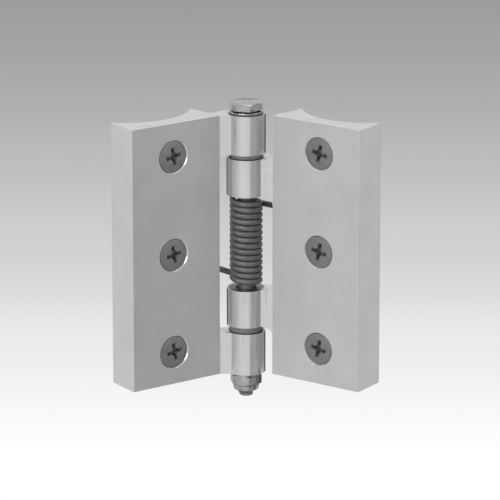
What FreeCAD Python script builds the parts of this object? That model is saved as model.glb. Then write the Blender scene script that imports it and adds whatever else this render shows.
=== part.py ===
import FreeCAD, Part
import math
import os
import re
import Sketcher

# Self-closing gate hinge for two round posts.
# The frame stands on the post side: the origin is on the saddle of the post leaf, at mid height
# above its middle screw. X runs along that leaf's face towards the pin, Y goes into the post, Z is up.
# Both leaves come from one extrusion, cut to length and mirrored. They turn on one long bolt.

doc = FreeCAD.newDocument("gate_hinge")
sheet = doc.addObject("Spreadsheet::Sheet", "Sizes")

# Driving sizes in millimetres and degrees, with what each one is
sizes = [
    ("leaf_height", 100.2, "height of both leaves"),
    ("face_width", 39.2, "flat front face of a leaf, outer to inner edge"),
    ("web_thickness", 7.0, "leaf behind the screws, face to saddle"),
    ("saddle_radius", 24.2, "saddle for a 48.3 mm round post"),
    ("saddle_inset", 20.85, "inner edge of the face to the screw line"),
    ("tip_inset", 2.2, "how far the saddle tip lies behind the inner edge"),
    ("side_lean", -0.6, "how far the outer side leans out at the saddle"),
    ("edge_gap", 10.9, "inner edge of the face to the pin axis"),
    ("pin_setout", 1.75, "pin axis in front of the face"),
    ("rest_fold", 71.6, "turn of the gate leaf from flat, in the photograph"),
    ("barrel_radius", 7.3, "outside of the knuckles"),
    ("strip_angle", 5.7, "where the slanted strip meets the barrel"),
    ("corner_round", 0.5, "broken long edges of the extrusion"),
    ("neck_round", 1.5, "inside corner behind the neck"),
    ("top_knuckle", 15.05, "length of the top knuckle"),
    ("bottom_knuckle", 16.0, "length of the bottom knuckle"),
    ("gate_knuckle", 14.3, "length of each gate knuckle"),
    ("upper_ring", 1.75, "space for the upper thrust washer"),
    ("lower_ring", 2.45, "space for the lower thrust washer"),
    ("notch_round", 3.5, "cutter radius in the corners of the notches"),
    ("screw_edge", 12.5, "outer screws from the ends of the leaf, before the lift"),
    ("post_hole_lift", -0.2, "middle screw of the post leaf above mid height"),
    ("gate_hole_lift", 1.0, "middle screw of the gate leaf above mid height"),
    ("screw_shank", 6.2, "outside of the screw thread"),
    ("screw_neck", 5.6, "plain neck under the head"),
    ("thread_start", 1.0, "thread's first end behind the saddle"),
    ("screw_length", 25.4, "screw, face to end"),
    ("screw_lead", 0.6, "chamfer at the screw's end"),
    ("screw_head", 12.0, "diameter of the countersunk head"),
    ("head_angle", 82.0, "included angle of the countersink"),
    ("head_sink", 0.15, "screw head below the face"),
    ("screw_play", 0.2, "clearance round the screw in its hole"),
    ("recess_width", 6.5, "cross recess, tip to tip"),
    ("recess_wing", 1.5, "cross recess, width of a wing"),
    ("recess_depth", 2.6, "cross recess depth"),
    ("recess_turn", 15.0, "turn of the cross recess"),
    ("pin_radius", 3.175, "bolt shank"),
    ("bolt_stick", 2.2, "bolt beyond the nut"),
    ("bolt_chamfer", 0.8, "chamfer at the bolt's end"),
    ("bolt_flats", 11.1, "bolt head across flats"),
    ("bolt_head", 3.0, "bolt head height"),
    ("hex_turn", 14.0, "turn of the bolt head from the view"),
    ("crown_inset", 0.2, "hexagon's flats left of the chamfered face, on each side"),
    ("flange_thick", 0.7, "flange of the top bushing"),
    ("flange_radius", 6.2, "flange of the top bushing"),
    ("bushing_radius", 4.0, "outside of the bushings and knuckle bore"),
    ("bushing_recess", 0.7, "inner ends of the gate bushings below the knuckle"),
    ("running_play", 0.05, "running clearance round the bolt and beside the thrust washers"),
    ("press_play", 0.01, "bushing in its knuckle"),
    ("thrust_radius", 6.24, "outside of the thrust washers"),
    ("washer_radius", 6.4, "outside of the head washer"),
    ("head_washer_thick", 0.7, "head washer"),
    ("nut_washer_radius", 6.2, "outside of the nut washer"),
    ("nut_washer_thick", 0.8, "nut washer"),
    ("nut_flats", 10.9, "nut across flats"),
    ("nut_hex_height", 4.4, "hexagon of the nut"),
    ("nut_collar_height", 2.2, "round collar over the nylon ring"),
    ("nut_collar_radius", 4.9, "round collar over the nylon ring"),
    ("nut_collar_slope", 0.9, "sloped edge of the collar"),
    ("nut_turn", 14.0, "turn of the nut from the view"),
    ("insert_radius", 4.0, "outside of the nylon ring"),
    ("insert_height", 1.7, "height of the nylon ring"),
    ("insert_lip", 0.4, "crimped lip over the nylon ring, thickness and reach"),
    ("wire_radius", 1.14, "spring wire"),
    ("coil_radius", 5.1, "spring, axis to wire centre"),
    ("turn_gap", 0.03, "gap between turns of the spring"),
    ("coil_lift", 2.25, "lower end of the spring above the lower gate knuckle, to its centre"),
    ("coil_room", 0.15, "least room above the spring"),
    ("tail_radius", 7.6, "upper tail where it leaves the spring, axis to wire centre"),
    ("tail_drop", 3.6, "upper tail below the top turn"),
    ("tail_flare", 110, "how long before its end the top turn widens, in degrees"),
    ("tail_dive", 70, "how long before its end the top turn drops, in degrees"),
    ("tail_seat", 4.0, "depth of the tail's hole in the gate leaf"),
    ("tail_play", 0.15, "clearance of the tail in its hole"),
    ("tail_short", 0.5, "end of the tail before the bottom of its hole"),
    ("lower_tail_gap", 0.06, "lower tail's end to the post leaf's inner side"),
    ("lower_tail_turn", 36.0, "lower tail's direction, from the post leaf's face"),
    ("lower_tail_rise", 0.33, "lower tail, rise for each millimetre of run"),
]

for row, (alias, number, meaning) in enumerate(sizes, start=1):
    sheet.set("A%d" % row, alias)
    sheet.set("B%d" % row, str(number))
    sheet.setAlias("B%d" % row, alias)
    sheet.set("C%d" % row, meaning)
doc.recompute()

aliases = {alias for alias, number, meaning in sizes}


def linked(formula):
    """The formula with each size named as a cell of the sheet."""
    return re.sub(r"[a-z_]+", lambda word: "Sizes." + word.group(0)
                  if word.group(0) in aliases else word.group(0), formula)


def size(formula):
    """The formula's value now."""
    return float(sheet.evalExpression(formula))


def bind(thing, **formulas):
    """Ties properties of an object to the sheet; two underscores stand for a dot."""
    for name, formula in formulas.items():
        thing.setExpression(name.replace("__", "."), linked(formula))


# Places that several pieces share, measured from the pin axis or from mid height
face_y = "pin_setout"
screw_x = "(edge_gap + saddle_inset)"
saddle_y = "(pin_setout + web_thickness + saddle_radius)"
top_z = "leaf_height / 2"
bottom_z = "(0 - leaf_height / 2)"
upper_gate_top = "(leaf_height / 2 - top_knuckle - upper_ring)"
upper_gate_bottom = "(leaf_height / 2 - top_knuckle - upper_ring - gate_knuckle)"
lower_gate_bottom = "(bottom_knuckle + lower_ring - leaf_height / 2)"
lower_gate_top = "(bottom_knuckle + lower_ring + gate_knuckle - leaf_height / 2)"
bottom_knuckle_top = "(bottom_knuckle - leaf_height / 2)"
top_knuckle_bottom = "(leaf_height / 2 - top_knuckle)"
screw_pitch = "(leaf_height / 2 - screw_edge)"
washer_under = "(leaf_height / 2 + flange_thick)"
head_under = "(leaf_height / 2 + flange_thick + head_washer_thick)"
nut_top = "(0 - leaf_height / 2 - nut_washer_thick)"
hex_bottom = "(%s - nut_hex_height)" % nut_top
nut_bottom = "(%s - nut_collar_height)" % hex_bottom
pin_x = screw_x
pin_y = "(0 - pin_setout - web_thickness)"
tip_x = "(edge_gap + tip_inset)"
tip_y = "(%s - sqrt(saddle_radius * saddle_radius - (saddle_inset - tip_inset) * (saddle_inset - tip_inset)))" % saddle_y


def new_body(name):
    body = doc.addObject("PartDesign::Body", name)
    body.Label = name
    return body


def origin_plane(body, role):
    return next(item for item in body.Origin.OriginFeatures if item.Role == role)


def new_sketch(body, name, role, height="0"):
    """A sketch on one of the body's own planes, lifted off it by a bound distance."""
    sketch = body.newObject("Sketcher::SketchObject", name)
    sketch.AttachmentSupport = [(origin_plane(body, role), "")]
    sketch.MapMode = "FlatFace"
    bind(sketch, AttachmentOffset__Base__z=height)
    return sketch


def pin_down(sketch, geometry, point, across, along):
    """Fixes one point of a sketch at two bound distances from its origin."""
    for kind, formula in (("DistanceX", across), ("DistanceY", along)):
        index = sketch.addConstraint(Sketcher.Constraint(kind, -1, 1, geometry, point, size(formula)))
        sketch.setExpression("Constraints[%d]" % index, linked(formula))


def closed_outline(sketch, corners, arcs=None):
    """Lines between bound corners; arcs maps a side's number to (centre across, centre along, turns left)."""
    arcs = arcs or {}
    count = len(corners)
    places = [FreeCAD.Vector(size(across), size(along), 0) for across, along in corners]
    for side in range(count):
        start, end = places[side], places[(side + 1) % count]
        if side in arcs:
            centre_across, centre_along, turns_left = arcs[side]
            centre = FreeCAD.Vector(size(centre_across), size(centre_along), 0)
            first, last = (start, end) if turns_left else (end, start)
            angles = [math.atan2(spot.y - centre.y, spot.x - centre.x) for spot in (first, last)]
            circle = Part.Circle(centre, FreeCAD.Vector(0, 0, 1), (first - centre).Length)
            sketch.addGeometry(Part.ArcOfCircle(circle, angles[0], angles[1]))
        else:
            sketch.addGeometry(Part.LineSegment(start, end))
    for side in range(count):
        turns_left = side not in arcs or arcs[side][2]
        following = (side + 1) % count
        next_left = following not in arcs or arcs[following][2]
        sketch.addConstraint(Sketcher.Constraint("Coincident", side, 2 if turns_left else 1,
                                                 following, 1 if next_left else 2))
    for side, (across, along) in enumerate(corners):
        begins_at = 1 if side not in arcs or arcs[side][2] else 2
        pin_down(sketch, side, begins_at, across, along)
    for side, (centre_across, centre_along, turns_left) in arcs.items():
        # the ends already fix all but one freedom of the centre
        if abs(places[side].x - places[(side + 1) % count].x) > abs(places[side].y - places[(side + 1) % count].y):
            kind, formula = "DistanceY", centre_along
        else:
            kind, formula = "DistanceX", centre_across
        index = sketch.addConstraint(Sketcher.Constraint(kind, -1, 1, side, 3, size(formula)))
        sketch.setExpression("Constraints[%d]" % index, linked(formula))


def circle_sketch(sketch, across, along, radius):
    sketch.addGeometry(Part.Circle(FreeCAD.Vector(size(across), size(along), 0),
                                   FreeCAD.Vector(0, 0, 1), size(radius)))
    pin_down(sketch, 0, 3, across, along)
    index = sketch.addConstraint(Sketcher.Constraint("Radius", 0, size(radius)))
    sketch.setExpression("Constraints[%d]" % index, linked(radius))


def pocket(body, sketch, name, through=True):
    cut = body.newObject("PartDesign::Pocket", name)
    cut.Profile = sketch
    if through:
        cut.Type = "ThroughAll"
        cut.Midplane = True
    return cut


def must_shrink(feature, before):
    """Stops the build when a cut took nothing away."""
    doc.recompute()
    if feature.Shape.isNull() or feature.Shape.Volume >= before - 1e-3:
        raise RuntimeError(feature.Name + " cuts nothing")


def long_edges(shape, x, y, reach=0.05):
    """Names of the upright edges at one place of the section."""
    found = []
    for number, edge in enumerate(shape.Edges, start=1):
        ends = [vertex.Point for vertex in edge.Vertexes]
        if len(ends) == 2 and all(math.hypot(end.x - x, end.y - y) < reach for end in ends):
            found.append("Edge%d" % number)
    return found


def on_pin(thing, turn="0"):
    """Stands a piece that was drawn about its own Z axis on the pin axis, turned by an angle."""
    bind(thing, Placement__Base__x=pin_x, Placement__Base__y=pin_y)
    thing.Placement.Rotation = FreeCAD.Rotation(FreeCAD.Vector(0, 0, 1), 1.0)
    bind(thing, Placement__Rotation__Angle=turn)


# Leaves: one extruded section for both, drawn about the pin axis
def leaf(name, outward, hole_lift, notches):
    """outward is -1 for the post leaf and 1 for the gate leaf; notches are (bottom, top, round below, round above)."""
    body = new_body(name)

    def across(formula):
        return "(%d * (%s))" % (outward, formula)

    half_saddle = "(face_width - saddle_inset + side_lean)"
    back_y = "(%s - sqrt(saddle_radius * saddle_radius - %s * %s))" % (saddle_y, half_saddle, half_saddle)
    neck_x = "(edge_gap + tip_inset * (barrel_radius - pin_setout) / (%s - pin_setout))" % tip_y
    corners = [
        (across("edge_gap + face_width"), face_y),
        (across("edge_gap"), face_y),
        (across("barrel_radius * cos(strip_angle)"), "(0 - barrel_radius * sin(strip_angle))"),
        ("0", "barrel_radius"),
        (across(neck_x), "barrel_radius"),
        (across(tip_x), tip_y),
        (across("%s + %s" % (screw_x, half_saddle)), back_y),
    ]
    post_side = outward < 0
    arcs = {2: ("0", "0", post_side), 5: (across(screw_x), saddle_y, not post_side)}
    section = new_sketch(body, name + "_section", "XY_Plane", bottom_z)
    closed_outline(section, corners, arcs)
    pad = body.newObject("PartDesign::Pad", name + "_extrusion")
    pad.Profile = section
    bind(pad, Length="leaf_height")
    doc.recompute()

    places = [(size(x), size(y)) for x, y in corners]
    rounded = pad
    for label, spots, radius in (("edges", (places[0], places[1], places[5], places[6]), "corner_round"),
                                 ("neck", (places[4],), "neck_round")):
        fillet = body.newObject("PartDesign::Fillet", "%s_%s" % (name, label))
        fillet.Base = (rounded, [edge for x, y in spots for edge in long_edges(rounded.Shape, x, y)])
        bind(fillet, Radius=radius)
        doc.recompute()
        rounded = fillet

    bore = new_sketch(body, name + "_bore_circle", "XY_Plane")
    circle_sketch(bore, "0", "0", "bushing_radius")
    must_shrink(pocket(body, bore, name + "_bore"), rounded.Shape.Volume)

    for number, (low, high, round_low, round_high) in enumerate(notches, start=1):
        sketch = new_sketch(body, "%s_notch_outline_%d" % (name, number), "XZ_Plane")
        wall, far = across("edge_gap"), across("(0 - barrel_radius * 1.5)")
        shelf = across("edge_gap - notch_round")
        points, rounds = [(far, low)], {}
        if round_low:
            points.append((shelf, low))
            rounds[1] = (shelf, "(%s + notch_round)" % low, outward > 0)
            points.append((wall, "(%s + notch_round)" % low))
        else:
            points.append((wall, low))
        if round_high:
            points.append((wall, "(%s - notch_round)" % high))
            rounds[len(points) - 1] = (shelf, "(%s - notch_round)" % high, outward > 0)
            points.append((shelf, high))
        else:
            points.append((wall, high))
        points.append((far, high))
        closed_outline(sketch, points, rounds)
        before = body.Tip.Shape.Volume
        must_shrink(pocket(body, sketch, "%s_notch_%d" % (name, number)), before)

    # One stepped screw hole at the bottom, repeated up the screw line
    hole = new_sketch(body, name + "_hole_section", "XY_Plane", "(%s - %s)" % (hole_lift, screw_pitch))
    middle = across(screw_x)
    rim = across("%s + screw_head / 2 + head_sink * tan(head_angle / 2) + screw_play" % screw_x)
    wall = across("%s + screw_shank / 2 + screw_play" % screw_x)
    throat_y = "(pin_setout + head_sink + (screw_head - screw_shank) / 2 / tan(head_angle / 2))"
    closed_outline(hole, [(middle, "(pin_setout - 1)"), (rim, "(pin_setout - 1)"), (rim, face_y), (wall, throat_y),
                          (wall, "(pin_setout + web_thickness + 2)"), (middle, "(pin_setout + web_thickness + 2)")])
    before = body.Tip.Shape.Volume
    groove = body.newObject("PartDesign::Groove", name + "_screw_hole")
    groove.Profile = hole
    groove.ReferenceAxis = (hole, ["Edge6"])
    groove.Angle = 360
    must_shrink(groove, before)
    before = groove.Shape.Volume
    holes = body.newObject("PartDesign::LinearPattern", name + "_screw_holes")
    holes.Originals = [groove]
    holes.Direction = (origin_plane(body, "Z_Axis"), [""])
    holes.Occurrences = 3
    bind(holes, Length="2 * " + screw_pitch)
    body.Tip = holes
    must_shrink(holes, before)
    return body


post_leaf = leaf("post_leaf", -1, "post_hole_lift", [(bottom_knuckle_top, top_knuckle_bottom, True, True)])
on_pin(post_leaf)
gate_leaf = leaf("gate_leaf", 1, "gate_hole_lift", [
    ("(0 - leaf_height)", lower_gate_bottom, False, True),
    (lower_gate_top, upper_gate_bottom, True, True),
    (upper_gate_top, "leaf_height", True, False)])

# The gate leaf holds the spring's upper tail in a blind hole in its inner side
# As many whole turns as the space between the gate leaf's knuckles takes, and the part turn between the tails
coil_pitch = "(2 * wire_radius + turn_gap)"
tail_share = "((rest_fold - lower_tail_turn) / 360)"
coil_turns = "floor((%s - %s - coil_lift - wire_radius - coil_room) / %s + tail_dive / 360 - %s)" % (
    upper_gate_bottom, lower_gate_top, coil_pitch, tail_share)
coil_end = "(%s + %s)" % (coil_turns, tail_share)
tail_z = "(%s + coil_lift + %s * %s - tail_drop)" % (lower_gate_top, coil_end, coil_pitch)
tail_hole = new_sketch(gate_leaf, "gate_leaf_tail_circle", "YZ_Plane")
circle_sketch(tail_hole, "tail_radius", tail_z, "wire_radius + tail_play")
volume_before = gate_leaf.Tip.Shape.Volume
tail_pocket = pocket(gate_leaf, tail_hole, "gate_leaf_tail_hole", through=False)
tail_pocket.Reversed = True
bind(tail_pocket, Length="edge_gap + tail_seat")
must_shrink(tail_pocket, volume_before)
on_pin(gate_leaf, "0 - rest_fold")


# Round pieces on the bolt
def tube(name, outer, inner, low, high):
    """A ring or sleeve between two heights on the pin axis."""
    parts = []
    for suffix, radius in (("outside", outer), ("bore", inner)):
        cylinder = doc.addObject("Part::Cylinder", "%s_%s" % (name, suffix))
        bind(cylinder, Radius=radius, Height="%s - %s" % (high, low), Placement__Base__z=low)
        parts.append(cylinder)
    ring = doc.addObject("Part::Cut", name)
    ring.Label = name
    ring.Base, ring.Tool = parts
    on_pin(ring)
    return ring


pin_bore = "pin_radius + running_play"
seat = "bushing_radius - press_play"
tube("head_washer", "washer_radius", pin_bore, washer_under, head_under)
tube("nut_washer", "nut_washer_radius", pin_bore, nut_top, bottom_z)
tube("upper_thrust_washer", "thrust_radius", pin_bore,
     "(%s + running_play)" % upper_gate_top, "(%s - running_play)" % top_knuckle_bottom)
tube("lower_thrust_washer", "thrust_radius", pin_bore,
     "(%s + running_play)" % bottom_knuckle_top, "(%s - running_play)" % lower_gate_bottom)
tube("bottom_bushing", seat, pin_bore, bottom_z, bottom_knuckle_top)
tube("upper_gate_bushing", seat, pin_bore, "(%s + bushing_recess)" % upper_gate_bottom, upper_gate_top)
tube("lower_gate_bushing", seat, pin_bore, lower_gate_bottom, "(%s - bushing_recess)" % lower_gate_top)


# The top bushing has a flange that the head washer turns on
def top_bushing():
    body = new_body("top_bushing")
    half = new_sketch(body, "top_bushing_section", "XZ_Plane")
    closed_outline(half, [(pin_bore, top_knuckle_bottom), (seat, top_knuckle_bottom), (seat, top_z),
                          ("flange_radius", top_z), ("flange_radius", washer_under), (pin_bore, washer_under)])
    turned = body.newObject("PartDesign::Revolution", "top_bushing_turning")
    turned.Profile = half
    turned.ReferenceAxis = (half, ["V_Axis"])
    turned.Angle = 360
    on_pin(body)


top_bushing()


# Hexagonal blanks of the bolt head and the nut
def hex_outline(sketch, flats, turn):
    """A hexagon with a corner at the bound angle, each corner bound to the sheet."""
    corners = []
    for number in range(6):
        angle = "(%s + %d)" % (turn, 60 * number)
        corners.append(("%s / sqrt(3) * cos(%s)" % (flats, angle), "%s / sqrt(3) * sin(%s)" % (flats, angle)))
    closed_outline(sketch, corners)


view_front = "(0 - 90 - rest_fold / 2)"


def hinge_bolt():
    body = new_body("hinge_bolt")
    head = new_sketch(body, "bolt_head_outline", "XY_Plane", head_under)
    hex_outline(head, "bolt_flats", "%s + hex_turn" % view_front)
    pad = body.newObject("PartDesign::Pad", "bolt_head_pad")
    pad.Profile = head
    bind(pad, Length="bolt_head")
    # turned crown that takes the corners of the hexagon off at 30 degrees
    crown = new_sketch(body, "bolt_crown_section", "XZ_Plane")
    top = "(%s + bolt_head)" % head_under
    corner = "(bolt_flats / sqrt(3) + 1)"
    inner = "(bolt_flats / 2 - crown_inset)"
    drop = "(%s - %s) * tan(30)" % (corner, inner)
    closed_outline(crown, [(inner, top), (corner, "%s - %s" % (top, drop)), (corner, "%s + 1" % top),
                           (inner, "%s + 1" % top)])
    doc.recompute()
    before = pad.Shape.Volume
    groove = body.newObject("PartDesign::Groove", "bolt_crown")
    groove.Profile = crown
    groove.ReferenceAxis = (crown, ["V_Axis"])
    groove.Angle = 360
    must_shrink(groove, before)
    shank = new_sketch(body, "bolt_shank_section", "XZ_Plane")
    end = "(%s - bolt_stick)" % nut_bottom
    closed_outline(shank, [("0", "%s + bolt_head / 2" % head_under), ("0", end),
                           ("pin_radius - bolt_chamfer", end), ("pin_radius", "%s + bolt_chamfer" % end),
                           ("pin_radius", "%s + bolt_head / 2" % head_under)])
    turned = body.newObject("PartDesign::Revolution", "bolt_shank")
    turned.Profile = shank
    turned.ReferenceAxis = (shank, ["V_Axis"])
    turned.Angle = 360
    on_pin(body)


hinge_bolt()


def lock_nut():
    body = new_body("lock_nut")
    blank = new_sketch(body, "nut_outline", "XY_Plane", hex_bottom)
    hex_outline(blank, "nut_flats", "%s + nut_turn" % view_front)
    pad = body.newObject("PartDesign::Pad", "nut_blank")
    pad.Profile = blank
    bind(pad, Length="nut_hex_height")
    collar = new_sketch(body, "nut_collar_section", "XZ_Plane")
    closed_outline(collar, [("0", hex_bottom), ("0", nut_bottom), ("nut_collar_radius - nut_collar_slope", nut_bottom),
                            ("nut_collar_radius", "%s + nut_collar_slope" % nut_bottom), ("nut_collar_radius", hex_bottom)])
    turned = body.newObject("PartDesign::Revolution", "nut_collar")
    turned.Profile = collar
    turned.ReferenceAxis = (collar, ["V_Axis"])
    turned.Angle = 360
    doc.recompute()
    # both ends of the hexagon are chamfered at 30 degrees
    corner = "(nut_flats / sqrt(3) + 1)"
    inner = "(nut_flats / 2 - crown_inset)"
    drop = "(%s - %s) * tan(30)" % (corner, inner)
    for label, end, away in (("top", nut_top, "-"), ("bottom", hex_bottom, "+")):
        chamfer = new_sketch(body, "nut_%s_chamfer" % label, "XZ_Plane")
        beyond = "+" if away == "-" else "-"
        limit = "%s %s 0.5" % (end, beyond) if label == "top" else "%s %s 0" % (end, beyond)
        closed_outline(chamfer, [(inner, end), (corner, "%s %s %s" % (end, away, drop)), (corner, limit)]
                       + ([(inner, limit)] if label == "top" else []))
        before = body.Tip.Shape.Volume
        groove = body.newObject("PartDesign::Groove", "nut_%s_edge" % label)
        groove.Profile = chamfer
        groove.ReferenceAxis = (chamfer, ["V_Axis"])
        groove.Angle = 360
        must_shrink(groove, before)
    # threaded bore, with the pocket of the nylon ring and its crimped lip
    bore = new_sketch(body, "nut_bore_section", "XZ_Plane")
    ring_low = "(%s + insert_lip)" % nut_bottom
    ring_high = "(%s + insert_height)" % ring_low
    closed_outline(bore, [("0", "%s + 1" % nut_top), ("0", "%s - 1" % nut_bottom),
                          ("insert_radius - insert_lip", "%s - 1" % nut_bottom), ("insert_radius - insert_lip", ring_low),
                          ("insert_radius", ring_low), ("insert_radius", ring_high),
                          ("pin_radius + press_play", ring_high), ("pin_radius + press_play", "%s + 1" % nut_top)])
    before = body.Tip.Shape.Volume
    groove = body.newObject("PartDesign::Groove", "nut_bore")
    groove.Profile = bore
    groove.ReferenceAxis = (bore, ["V_Axis"])
    groove.Angle = 360
    must_shrink(groove, before)
    on_pin(body)
    return ring_low, ring_high


ring_low, ring_high = lock_nut()
tube("nut_insert", "insert_radius - press_play", "pin_radius + press_play", ring_low, ring_high)


# Countersunk screws with a cross recess, drawn along their own Z axis, the head's top at the origin
def screw(name, side, height, turn):
    body = new_body(name)
    half = new_sketch(body, name + "_section", "XZ_Plane")
    cone_end = "(0 - (screw_head - screw_neck) / 2 / tan(head_angle / 2))"
    thread_top = "(head_sink - web_thickness - thread_start)"
    closed_outline(half, [("0", "0"), ("screw_head / 2", "0"), ("screw_neck / 2", cone_end),
                          ("screw_neck / 2", thread_top), ("screw_shank / 2", thread_top),
                          ("screw_shank / 2", "(screw_lead - screw_length)"),
                          ("screw_shank / 2 - screw_lead", "(0 - screw_length)"), ("0", "(0 - screw_length)")])
    turned = body.newObject("PartDesign::Revolution", name + "_turning")
    turned.Profile = half
    turned.ReferenceAxis = (half, ["V_Axis"])
    turned.Angle = 360
    doc.recompute()
    volume = turned.Shape.Volume
    wing, reach = "recess_wing / 2", "recess_width / 2"
    cross = new_sketch(body, name + "_recess_outline", "XY_Plane")
    closed_outline(cross, [
        (wing, wing), (reach, wing), (reach, "0 - " + wing), (wing, "0 - " + wing),
        (wing, "0 - " + reach), ("0 - " + wing, "0 - " + reach), ("0 - " + wing, "0 - " + wing),
        ("0 - " + reach, "0 - " + wing), ("0 - " + reach, wing), ("0 - " + wing, wing),
        ("0 - " + wing, reach), (wing, reach)])
    recess = body.newObject("PartDesign::Pocket", name + "_recess")
    recess.Profile = cross
    bind(recess, Length="recess_depth")
    must_shrink(recess, volume)
    # stands on the leaf's face: the screw's -Z goes into the post
    into = {"post": 0.0, "gate": -size("rest_fold")}[side]
    facing = FreeCAD.Rotation(FreeCAD.Vector(0, 0, 1), into) \
        * FreeCAD.Rotation(FreeCAD.Vector(1, 0, 0), 90) \
        * FreeCAD.Rotation(FreeCAD.Vector(0, 0, 1), turn)
    body.Placement.Rotation = facing
    if side == "post":
        bind(body, Placement__Base__x="0", Placement__Base__y="head_sink - web_thickness",
             Placement__Base__z=height)
    else:
        reach_x, reach_y = screw_x, "(pin_setout + head_sink)"
        bind(body,
             Placement__Base__x="%s + %s * cos(rest_fold) + %s * sin(rest_fold)" % (pin_x, reach_x, reach_y),
             Placement__Base__y="%s - %s * sin(rest_fold) + %s * cos(rest_fold)" % (pin_y, reach_x, reach_y),
             Placement__Base__z=height)


for side, turn in (("post", size("recess_turn")), ("gate", -size("recess_turn"))):
    for label, rows in (("top", 1), ("middle", 0), ("bottom", -1)):
        screw("%s_screw_%s" % (side, label), side, "%s_hole_lift + %d * %s" % (side, rows, screw_pitch), turn)


# Torsion spring, wound left-handed, with a tail at each end
def torsion_spring():
    """A six-sided wire swept in short straight runs, measured from the pin axis."""
    radius, pitch, wire = size("coil_radius"), size(coil_pitch), size("wire_radius")
    low = size("%s + coil_lift" % lower_gate_top)
    tail_out, drop = size("tail_radius"), size("tail_drop")
    flare, dive = size("tail_flare"), size("tail_dive")
    sweep = size(coil_end) * 360
    step_angle = 36.0
    lower_heading = 180 - size("lower_tail_turn")

    def around(turned, distance, height):
        # going up, the wire runs clockwise from above
        angle = math.radians(lower_heading - 90 - turned)
        return FreeCAD.Vector(distance * math.cos(angle), distance * math.sin(angle), height)

    def eased(share):
        return 0.5 - 0.5 * math.cos(math.pi * min(1.0, max(0.0, share)))

    # the lower tail leaves as a tangent and ends against the post leaf's inner side
    start = around(0, radius, low)
    heading = math.radians(lower_heading)
    tail = FreeCAD.Vector(math.cos(heading), math.sin(heading), size("lower_tail_rise"))
    tail_line = FreeCAD.Vector(tail).normalize()
    inner_edge = FreeCAD.Vector(-size("edge_gap"), size(face_y), 0)
    side_line = FreeCAD.Vector(-size(tip_x), size(tip_y), 0) - inner_edge
    away = FreeCAD.Vector(side_line.y, -side_line.x, 0).normalize()
    rim = wire * math.sqrt(1 - tail_line.dot(away) ** 2)
    run = (size("lower_tail_gap") + rim - (start - inner_edge).dot(away)) / tail.dot(away)
    points = [start + tail * run, start]

    # closed turns, the last of which widens and then drops beside the others
    turned = step_angle
    while turned < sweep - step_angle / 2:
        left = sweep - turned
        widen = eased((flare - left) / (flare - dive))
        sink = eased((dive - left) / dive)
        points.append(around(turned, radius + (tail_out - radius) * widen, low + turned * pitch / 360 - drop * sink))
        turned += step_angle if left > flare + step_angle else step_angle / 2
    end = around(sweep, tail_out, low + sweep * pitch / 360 - drop)
    gate_along = math.radians(-size("rest_fold"))
    along = FreeCAD.Vector(math.cos(gate_along), math.sin(gate_along), 0)
    points += [end, end + along * size("edge_gap + tail_seat - tail_short")]

    ring = Part.makeCircle(wire, points[0], tail_line)
    corners = [ring.valueAt(math.pi / 3 * number) for number in range(6)]
    path = Part.makePolygon(points)
    spring = doc.addObject("Part::Feature", "torsion_spring")
    spring.Label = "torsion_spring"
    spring.Shape = path.makePipeShell([Part.makePolygon(corners + corners[:1])], True, False, 1)
    print("spring volume %.1f, section times length %.1f, wire %.1f mm" % (
        spring.Shape.Volume, 1.5 * math.sqrt(3) * wire ** 2 * path.Length, path.Length))
    print("tail height %.3f, hole height %.3f, lower run %.3f" % (end.z, size(tail_z), run))
    spring.Placement = FreeCAD.Placement(FreeCAD.Vector(size(pin_x), size(pin_y), 0), FreeCAD.Rotation())


torsion_spring()

doc.recompute()
nodes = [thing for thing in doc.Objects
         if thing.isDerivedFrom("PartDesign::Body") or thing.TypeId in ("Part::Cut", "Part::Feature")
         and not thing.InList]
for thing in doc.Objects:
    if "Invalid" in thing.State or "Error" in thing.State:
        raise RuntimeError("%s failed: %s" % (thing.Name, thing.State))
for node in nodes:
    if node.Shape.isNull() or not node.Shape.isValid() or len(node.Shape.Solids) != 1:
        raise RuntimeError("%s is not one valid solid" % node.Label)

os.makedirs("parts", exist_ok=True)
for node in nodes:
    node.Shape.exportStep(os.path.join("parts", node.Label + ".step"))
print("%d pieces written" % len(nodes))
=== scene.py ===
import bmesh
import bpy
import math
from mathutils import Matrix, Vector


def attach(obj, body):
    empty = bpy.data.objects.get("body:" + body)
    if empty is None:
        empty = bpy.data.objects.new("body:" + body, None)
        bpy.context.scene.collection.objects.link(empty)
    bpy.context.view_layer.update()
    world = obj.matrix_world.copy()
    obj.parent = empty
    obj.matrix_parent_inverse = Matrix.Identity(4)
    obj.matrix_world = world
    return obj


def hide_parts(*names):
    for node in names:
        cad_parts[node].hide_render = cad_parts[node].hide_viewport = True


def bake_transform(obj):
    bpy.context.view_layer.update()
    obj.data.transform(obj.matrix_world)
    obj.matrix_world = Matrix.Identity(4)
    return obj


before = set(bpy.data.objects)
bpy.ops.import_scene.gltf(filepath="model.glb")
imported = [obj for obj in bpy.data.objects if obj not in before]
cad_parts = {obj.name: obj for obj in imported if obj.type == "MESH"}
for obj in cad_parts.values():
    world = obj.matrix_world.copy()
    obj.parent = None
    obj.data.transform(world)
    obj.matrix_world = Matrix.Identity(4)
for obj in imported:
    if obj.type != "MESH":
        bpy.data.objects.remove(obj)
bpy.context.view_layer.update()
print("frame loaded")

mm = 0.001

# The pin stands upright, and the gate leaf is turned by the fold from the post leaf's line
hinge = {
    "pin": Vector((31.75, -8.75, 0)),  # mm, from the origin on the post leaf's saddle
    "fold": math.radians(71.6),
    "leafHeight": 100.2,  # mm
}

# Camera: the photograph's side and a long lens; slide and lift, in metres, frame the hinge
cameraView = {
    "azimuth": -35.77,  # degrees
    "elevation": 15.8,
    "aim": Vector((0.03045, -0.01055, 0)),
    "distance": 1.5,
    "lens": 288.26,
    "sensor": 36,
    "slide": 0.00146,
    "lift": -0.00236,
}


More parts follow.
